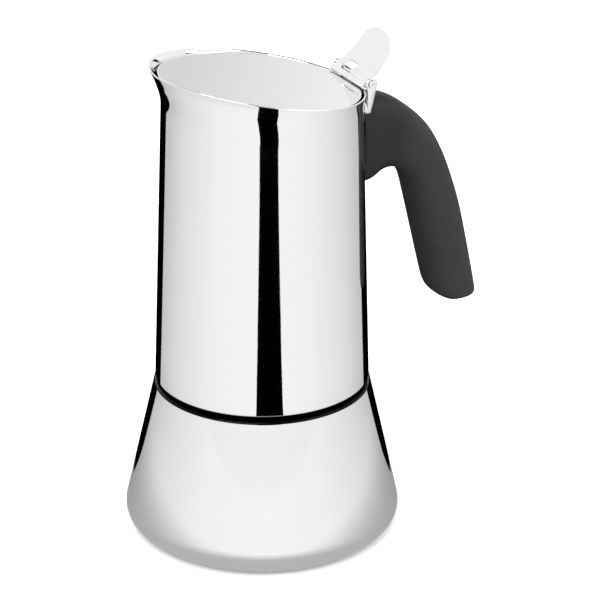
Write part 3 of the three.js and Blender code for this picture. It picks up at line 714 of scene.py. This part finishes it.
def starPlate(name, outline, centre, hole, thickness, place):
    # a flat plate with a round hole, its outline measured from the hole's centre;
    # one closed loop of rings makes both faces and both walls
    angle = np.linspace(0, turn, 240, endpoint=False)
    ends = np.roll(outline, -1, 0)
    direction = np.stack([np.cos(angle), np.sin(angle)], -1)
    edge = ends - outline
    start = outline - centre
    cross = direction[:, :1] * edge[:, 1] - direction[:, 1:] * edge[:, 0]
    cross = np.where(np.abs(cross) < 1e-9, 1e-9, cross)
    away = (start[:, 0] * edge[:, 1] - start[:, 1] * edge[:, 0]) / cross
    along = (start[:, 0] * direction[:, 1:] - start[:, 1] * direction[:, :1]) / cross
    hit = np.where((along >= -1e-6) & (along <= 1 + 1e-6) & (away > 0), away, 1e9)
    reach = hit.min(1)
    soft = 0.1
    layers = [
        (0, soft, hole), (soft, 0, hole), (soft, 0, None), (0, soft, None),
        (0, thickness - soft, None), (soft, thickness, None),
        (soft, thickness, hole), (0, thickness - soft, hole),
    ]
    points = []
    for inset, depth, fixed in layers:
        radius = reach - inset if fixed is None else fixed + inset + 0 * reach
        spot = centre + direction * radius[:, None]
        points.append(place(spot, depth))
    return gridPiece(name, np.array(points), wrapRows=True, wrapColumns=True)


def innerFace(z):
    # the bracket's inner face, a little off the can
    return bodyRadius(z) + bracket["clear"]


def makeBracket():
    # a plate that hugs the can and widens into a crossbar, and two slim ears that carry the pin
    thick, corner, flare = bracket["thickness"], bracket["corner"], bracket["flare"]
    bottom, top = bracket["bottom"], bracket["top"]
    barBottom = top - bracket["crossbar"]
    wide = bracket["earFace"] + bracket["earThickness"]
    height = np.concatenate([
        bottom + corner * (1 - np.cos(np.linspace(0, np.pi / 2, 10))),
        np.linspace(bottom + corner + 0.6, barBottom, 18),
        barBottom + flare * np.linspace(0, 1, 7)[1:],
        np.linspace(barBottom + 1.4, top, 8),
    ])
    radius = innerFace(height) + thick / 2
    low = np.clip((bottom + corner - height) / corner, 0, 1)
    grow = np.clip((height - barBottom) / flare, 0, 1)
    half = bracket["halfWidth"] - corner * (1 - np.sqrt(1 - low ** 2))
    half = half + (wide - bracket["halfWidth"]) * (1 - np.sqrt(1 - grow ** 2))
    angle = np.arcsin(half / radius)[:, None] * np.linspace(-1, 1, 44)
    plate = sheet("bracket_plate", ringPoints(radius[:, None], angle, height[:, None]), thick, 0.12)
    foot = np.sqrt(innerFace(barBottom) ** 2 - bracket["earFace"] ** 2) + 0.1
    waist, arm, ring = foot + bracket["earWaist"], bracket["earArm"], bracket["earRadius"]
    lean = np.linspace(-0.5, np.pi + 0.3, 30)
    outline = np.concatenate([
        [[foot, barBottom], [foot + arm, barBottom], [waist + arm, top]],
        np.stack([hinge["x"] + ring * np.cos(lean), hinge["z"] + ring * np.sin(lean)], -1),
        [[waist, top]],
    ])
    centre = np.array([hinge["x"], hinge["z"]])
    hole = hinge["pin"] + hinge["play"]
    pieces = [plate]
    for side in (-1, 1):
        def place(spot, depth, side=side):
            y = side * (bracket["earFace"] + depth)
            return np.stack([spot[:, 0], 0 * spot[:, 0] + y, spot[:, 1]], -1)
        pieces.append(starPlate("ear", outline, centre, hole, bracket["earThickness"], place))
    return merged("bracket_skin", pieces)


finished(makeBracket(), "collector", steel, "mirror_steel", "hinge_bracket")
print("lid and hinge made")

grip = {
    "roundness": 2.5, "clear": 0.4, "halfWidth": 10.0, "belowBar": 5,
    "around": 144, "along": 200, "rootRows": 30, "capRows": 44, "capFrom": 0.87,
    # where the outer edge, the inner edge and the sides begin to round off, and how squarely
    "outerEnd": (0.957, 4), "innerEnd": (0.88, 2.2), "sideEnd": (0.91, 3),
    # the outer and the inner edge as x, z pairs, from the root to the free end
    "outer": [
        [38, 166.4], [44.8, 166.2], [52.3, 163.8], [60.3, 158.2], [67.7, 150.8], [73.4, 141.2],
        [78.1, 129.8], [82.3, 116.8], [86.1, 100.8], [89.3, 85.9], [91.24, 76.2],
    ],
    "inner": [
        [38, 131.5], [43, 132.1], [47.7, 135.1], [52.2, 135.7], [55.9, 134.1], [58.9, 130.1],
        [61.1, 122.3], [63.7, 111.8], [67, 98.5], [70.5, 84.8], [72.9, 76.2],
    ],
}
recess = {"below": 20, "depth": 2.7}


def uniformSpline(values, share):
    # uniform Catmull-Rom through the rows of values, read at shares from 0 to 1
    values = np.array(values, float)
    ends = np.vstack([2 * values[0] - values[1], values, 2 * values[-1] - values[-2]])
    place = np.clip(share * (len(values) - 1), 0, len(values) - 1 - 1e-9)
    i = place.astype(int)
    t = (place - i)[:, None]
    a, b, c, d = ends[i], ends[i + 1], ends[i + 2], ends[i + 3]
    slope, curve, twist = c - a, 2 * a - 5 * b + 4 * c - d, 3 * b - a - 3 * c + d
    return 0.5 * (2 * b + slope * t + curve * t ** 2 + twist * t ** 3)


def roundedOff(share, start, power):
    # how much is left near the free end, where an edge rounds off from start on
    u = np.clip((share - start) / (1 - start), 0, 1)
    return np.maximum(0.004, (1 - u ** power) ** (1 / power))


def rootFace(y, z):
    # how near the axis the grip may come: round the can, the bracket's plate and its crossbar
    beside = innerFace(z)
    clear = grip["clear"]
    behind = beside + bracket["thickness"] + clear
    barBottom = bracket["top"] - grip["belowBar"] - clear
    overPlate = (np.abs(y) < bracket["halfWidth"] + clear) & (z > bracket["bottom"] - clear)
    radius = np.where(overPlate | (z > barBottom), behind, beside)
    return np.sqrt(radius ** 2 - y ** 2)


def makeGrip():
    # a rounded section carried between two edge curves; it starts against the bracket and ends in a round cap
    start, capRows, rootRows = grip["capFrom"], grip["capRows"], grip["rootRows"]
    share = np.concatenate([
        np.linspace(0, start, grip["along"] - capRows),
        start + (1 - start) * np.sin(np.linspace(0, 1, capRows + 1)[1:] * np.pi / 2),
    ])
    outer, inner = uniformSpline(grip["outer"], share), uniformSpline(grip["inner"], share)
    angle = np.linspace(0, turn, grip["around"], endpoint=False)
    # rows that grow from the middle of the first section close the root
    fill = np.concatenate([np.linspace(0.02, 0.98, rootRows), np.ones(len(share))])[:, None]
    outer, inner, share = [np.concatenate([np.repeat(v[:1], rootRows, 0), v]) for v in (outer, inner, share)]

    def bend(value):
        return np.sign(value) * np.abs(value) ** (2 / grip["roundness"])

    across = bend(np.cos(angle))[None, :] * fill
    left = [roundedOff(share, *grip[key])[:, None] for key in ("outerEnd", "innerEnd")]
    left = np.where(across > 0, left[0], left[1])
    middle, half = (outer + inner) / 2, (outer - inner) / 2
    x = middle[:, :1] + half[:, :1] * across * left
    z = middle[:, 1:] + half[:, 1:] * across * left
    y = grip["halfWidth"] * roundedOff(share, *grip["sideEnd"])[:, None] * bend(np.sin(angle)) * fill
    x = np.maximum(x, rootFace(y, z))
    points = np.stack([x, y, z], -1)
    gap = np.linalg.norm(np.diff(points, axis=1, append=points[:, :1]), axis=2)
    around = np.concatenate([[0], np.cumsum(gap[len(share) // 2])[:-1]])
    along = np.concatenate([[0], np.cumsum(np.linalg.norm(np.diff(middle, axis=0), axis=1))])
    uv = np.stack([along[:, None] + 0 * around, around + 0 * along[:, None]], -1)
    piece = gridPiece("grip_skin", points, wrapColumns=True, uv=uv)
    work = bmesh.new()
    work.from_mesh(piece.data)
    bmesh.ops.holes_fill(work, edges=[e for e in work.edges if e.is_boundary], sides=0)
    bmesh.ops.dissolve_degenerate(work, edges=work.edges, dist=1e-7)
    work.to_mesh(piece.data)
    work.free()
    return piece


def makeRecess():
    # the screw goes up into the grip through a round recess
    low, high = span("handle_screw")
    middle, radius = (low[0] + high[0]) / 2, (high[0] - low[0]) / 2 + grip["clear"]
    bottom, top = low[2] - recess["below"], low[2] + recess["depth"]
    bore = [[0, bottom], [radius, bottom], [radius, top], [0, top]]
    return shifted(turned("recess", np.array(bore, float), 48), middle, 0, 0)


finished(carved(makeGrip(), makeRecess()), "collector", plastic, "grip_plastic", "handle_grip")
print("handle made")

funnel = {"stem": 5.2, "cup": 32.9, "wall": 0.7, "cupDepth": 24.0, "coneDepth": 11.0, "ledge": 3}


def makeFunnel():
    # a pipe that opens into a cone and a straight cup, with a flat flange and a ledge for the strainer
    low, high = span("funnel")
    top, wall, cup, stem = high[2], funnel["wall"], funnel["cup"], funnel["stem"]
    under, inside = top - wall, cup - wall
    floor = under - funnel["cupDepth"]
    throat, ledge = floor - funnel["coneDepth"], floor + funnel["ledge"]
    return turned("funnel_skin", rounded([
        [stem, low[2], 0.2], [stem, throat, 2.5], [cup - 2, floor, 1.2], [cup, floor + 2.2, 1.2],
        [cup, under, 0.4], [high[0], under, 0.15], [high[0], top, 0.25], [inside, top, 0.4],
        [inside, ledge, 0.2], [inside - 0.9, ledge, 0.3], [inside - 1.6, floor + 1.4, 0.6],
        [stem - wall, throat + wall, 2.2], [stem - wall, low[2], 0.2],
    ], 5, closed=True), 128, closed=True)


gasket = {"inner": 28.6}


def makeGasket():
    # a flat ring with rounded edges
    low, high = span("gasket")
    return turned("gasket_skin", rounded([
        [gasket["inner"], low[2], 0.5], [high[0], low[2], 0.6],
        [high[0], high[2], 0.6], [gasket["inner"], high[2], 0.5],
    ], 6, closed=True), 128, closed=True)


floorPan = {"hole": 6.4, "flat": 28.0, "rise": 5}


def makeFloorPan():
    # the collector's floor: flat outside, rising as a cone to the column in the middle
    low, high = span("collector_floor")
    hole, bend, bottom = floorPan["hole"], floorPan["flat"], low[2]
    rise, top = bottom + floorPan["rise"], bottom + collector["wall"]
    return turned("floor_skin", rounded([
        [hole, rise, 0.2], [bend, bottom, 8], [high[0], bottom, 0.2],
        [high[0], top, 0.2], [bend, top, 8], [hole, rise + collector["wall"], 0.2],
    ], 6, closed=True), 128, closed=True)


riser = {"foot": 7.4, "top": 5.6, "wall": 1.2}


def makeRiser():
    # a tapered tube with a small flange at its foot
    low, high = span("riser_column")
    wall, bottom, top = riser["wall"], low[2], high[2]
    return turned("riser_skin", rounded([
        [riser["foot"] - wall, bottom, 0.2], [high[0], bottom, 0.2], [high[0], bottom + 1, 0.3],
        [riser["foot"], bottom + 3, 1.5], [riser["top"], top, 0.3], [riser["top"] - wall, top, 0.3],
    ], 6, closed=True), 96, closed=True)


threadRing = {"inner": 36.5, "threadTop": 72.6, "seat": 36, "depth": 0.5, "pitch": 3.0}


def makeThreadRing():
    # a collar with a helical ridge on its inner wall, and a narrower seat above the ridge
    low, high = span("collector_thread_ring")
    inner, depth, threadTop = threadRing["inner"], threadRing["depth"], threadRing["threadTop"]
    bottom, top, seat, deep = low[2], high[2], threadRing["seat"], inner + depth
    height = np.linspace(threadTop - 0.1, bottom + 0.6, 90)
    section = np.concatenate([
        rounded([[inner, bottom, 0.2], [high[0], bottom, 0.2], [high[0], top, 0.2], [seat, top, 0.2],
                 [seat, threadTop, 0.1], [deep, threadTop]], 4),
        np.stack([deep + 0 * height, height], -1),
    ])
    angle = np.linspace(0, turn, 180, endpoint=False)
    z = np.repeat(section[:, 1:], len(angle), 1)
    fade = np.clip((z - bottom - 0.6) / 1.2, 0, 1) * np.clip((threadTop - 0.3 - z) / 1.2, 0, 1)
    threaded = (np.abs(section[:, 0] - deep) < 1e-6)[:, None]
    ridge = threadCrest(angle + np.pi, z, threadRing["pitch"], depth)
    radius = section[:, :1] - threaded * fade * ridge
    return gridPiece("ring_skin", ringPoints(radius, angle, z), wrapRows=True, wrapColumns=True)


sieve = {"hole": 0.75, "spacing": 3.6, "border": 3, "sides": 8, "rows": 12}


def makeSieve(node):
    # a round plate with small holes on a triangular grid
    low, high = span(node)
    radius, bottom, top = high[0], low[2], high[2]
    profile = rounded([[0, bottom], [radius, bottom, 0.15], [radius, top, 0.15], [0, top]], 3)
    plate = turned(node + "_skin", profile, 120)
    step, hole, sides = sieve["spacing"], sieve["hole"], sieve["sides"]
    corner = np.linspace(0, turn, sides, endpoint=False)
    grid = range(-sieve["rows"], sieve["rows"] + 1)
    points, faces = [], []
    for row in grid:
        for column in grid:
            x, y = step * (column + row % 2 / 2), step * row * np.sqrt(0.75)
            if np.hypot(x, y) > radius - sieve["border"]:
                continue
            below = [len(points) + j for j in range(sides)]
            above = [j + sides for j in below]
            for z in (bottom - 1, top + 1):
                points += [[x + hole * np.cos(a), y + hole * np.sin(a), z] for a in corner]
            for j in range(sides):
                after = (j + 1) % sides
                faces.append([below[j], below[after], above[after], above[j]])
            faces += [below[::-1], above]
    return carved(plate, bodyMesh("punches", np.array(points), faces))


finished(makeFunnel(), "funnel", satin, "satin_steel", "funnel")
finished(makeSieve("funnel_strainer"), "funnel", satin, "satin_steel", "funnel_strainer")
finished(makeGasket(), "seal", silicone, "seal", "gasket")
finished(makeSieve("filter_plate"), "filter", satin, "satin_steel", "filter_plate")
finished(makeThreadRing(), "collector", satin, "satin_steel", "collector_thread_ring")
finished(makeFloorPan(), "collector", satin, "satin_steel", "collector_floor")
finished(makeRiser(), "collector", satin, "satin_steel", "riser_column")
print("inner pieces made")

studio = {
    "azimuth": -26.6, "elevation": 23.6, "distance": 1050.0, "target": (0, 0, 95), "lens": 168.1,
    "shift": (0.0633, -0.0198), "sensor": 36, "farthest": 50,
    "floorHalf": 4000, "floorShade": (0.88, 0.88, 0.88), "lampTarget": (0, 0, 90),
}


def flat(name, corners, shade):
    # a plain painted sheet
    mesh = bpy.data.meshes.new(name)
    mesh.from_pydata([tuple(v * millimetre for v in c) for c in corners], [], [tuple(range(len(corners)))])
    piece = bpy.data.objects.new(name, mesh)
    bpy.context.scene.collection.objects.link(piece)
    paint = Paint(name)
    mesh.materials.append(paint.surface(Base_Color=(*shade, 1), Roughness=0.9, Specular_IOR_Level=0.1))
    return piece


def reflectedOnly(piece):
    # seen by the steel, and by nothing else
    piece.visible_camera = False
    piece.visible_diffuse = False
    piece.visible_shadow = False
    piece.visible_transmission = False
    return piece


def card(name, points, shades, near=1.0):
    # a sheet seen only in reflections; its glow changes round the axis, by degrees from the camera's side,
    # and dims to near at the pot's foot
    piece = gridPiece(name, points)
    paint = Paint(name)
    x, y, _ = paint.parts(paint.place())
    towards = np.radians(studio["azimuth"] - 90)
    ahead = x * np.cos(towards) + y * np.sin(towards)
    aside = x * -np.sin(towards) + y * np.cos(towards)
    share = aside.size().maths("ARCTAN2", aside.size(), ahead) / np.pi
    away = (x * x + y * y) ** 0.5
    dim = paint.node("ShaderNodeMapRange", {"interpolation_type": "SMOOTHSTEP"}, {
        "Value": away, "From Min": 0.05, "From Max": 0.2, "To Min": near, "To Max": 1.0,
    }).out()
    shade = paint.ramp(share, *[(place / 180, value) for place, value in shades]) * dim
    piece.data.materials.append(paint.surface(
        Base_Color=(0, 0, 0, 1), Roughness=1.0, Specular_IOR_Level=0.0,
        Emission_Color=shade, Emission_Strength=1.0,
    ))
    return reflectedOnly(piece)


def sectorPoints(stations, height):
    # a fan over the floor: radius, centre line and half angle in degrees from the camera's side
    points = []
    for radius, centre, half in stations:
        angle = np.radians(studio["azimuth"] - 90 + centre + np.linspace(-half, half, 91))
        points.append(ringPoints(radius, angle, height))
    return np.array(points)


def wallPoints(radius, bottom, top):
    # a round wall about the axis
    angle = np.radians(np.linspace(-180, 180, 181))
    return np.stack([ringPoints(radius, angle, z) for z in (bottom, top)])


def makeCards():
    # the white floor, and the light and dark cards that the polished steel mirrors
    side = studio["floorHalf"]
    corners = [(-side, -side, 0), (side, -side, 0), (side, side, 0), (-side, side, 0)]
    flat("floor", corners, studio["floorShade"])
    black = ((0, 0.0), (180, 0.0))
    mood = ((0, 1.05), (50, 1.0), (95, 0.82), (125, 0.62), (180, 0.5))
    dusk = ((0, 1.0), (60, 0.95), (110, 0.62), (143, 0.5), (146, 0.0), (180, 0.0))
    dawn = ((0, 1.0), (171.5, 1.0), (179.5, 0.74))
    dim = ((0, 0.12), (180, 0.12))
    frontFan = (
        (42.5, 4.3, 7.55), (80, 5.9, 10.1), (147, 6.7, 10.7),
        (227, 7, 10.3), (307, 7.2, 9.8), (430, 7.3, 9.8),
    )
    card("floor_glow", sectorPoints(((46, 0, 180), (110, 0, 180), (900, 0, 180)), 0.2), mood, 0.5)
    card("front_card", sectorPoints(frontFan, 59.6), black)
    card("back_card", sectorPoints(((75, 180, 62), (110, 180, 58), (900, 180, 44)), 1.6), black)
    card("low_wall", wallPoints(899, -2, 110), dusk)
    card("high_wall", wallPoints(905, 111, 620), dawn)
    card("ceiling", sectorPoints(((1, 0, 180), (650, 0, 180)), 1000), dim)


def makeLights():
    # three soft lamps aimed at the pot, a white sky, and plain colours
    for name, place, size, power in (
        ("key", (-900, -700, 1300), 1.2, 20),
        ("fill", (900, -900, 900), 1.2, 12),
        ("top", (0, 200, 1600), 1.4, 16),
    ):
        data = bpy.data.lights.new(name, "AREA")
        data.size = size
        data.energy = power
        light = bpy.data.objects.new(name, data)
        bpy.context.scene.collection.objects.link(light)
        light.location = Vector(place) * millimetre
        aim = Vector(studio["lampTarget"]) * millimetre - light.location
        light.rotation_euler = aim.to_track_quat("-Z", "Y").to_euler()
    world = bpy.data.worlds.new("studio")
    bpy.context.scene.world = world
    world.use_nodes = True
    sky = Paint("studio", world.node_tree)
    background = sky.node("ShaderNodeBackground", None, {"Color": (1, 1, 1, 1), "Strength": 1.0})
    output = sky.node("ShaderNodeOutputWorld")
    world.node_tree.links.new(background.node.outputs[0], output.node.inputs[0])
    bpy.context.scene.view_settings.view_transform = "Standard"


def makeCamera():
    # looks back along the direction that its two angles give
    a, e = np.radians(studio["azimuth"]), np.radians(studio["elevation"])
    back = Vector((np.sin(a) * np.cos(e), -np.cos(a) * np.cos(e), np.sin(e)))
    data = bpy.data.cameras.new("camera")
    data.lens = studio["lens"]
    data.sensor_width = studio["sensor"]
    data.shift_x, data.shift_y = studio["shift"]
    data.clip_end = studio["farthest"]
    camera = bpy.data.objects.new("camera", data)
    bpy.context.scene.collection.objects.link(camera)
    camera.location = (Vector(studio["target"]) + back * studio["distance"]) * millimetre
    camera.rotation_euler = (-back).to_track_quat("-Z", "Y").to_euler()
    bpy.context.scene.camera = camera


makeCards()
makeLights()
makeCamera()
print("studio made")

# the small parts that keep their CAD shapes only get a finish
for material, names in (
    (brassy, ("valve_body", "valve_nut", "valve_retainer")),
    (silicone, ("valve_washer",)),
    (satin, ("valve_plunger", "valve_spring", "column_cap", "handle_tang", "handle_screw")),
):
    for name in names:
        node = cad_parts[name]
        node.data.materials.clear()
        node.data.materials.append(material)
print("small parts finished")
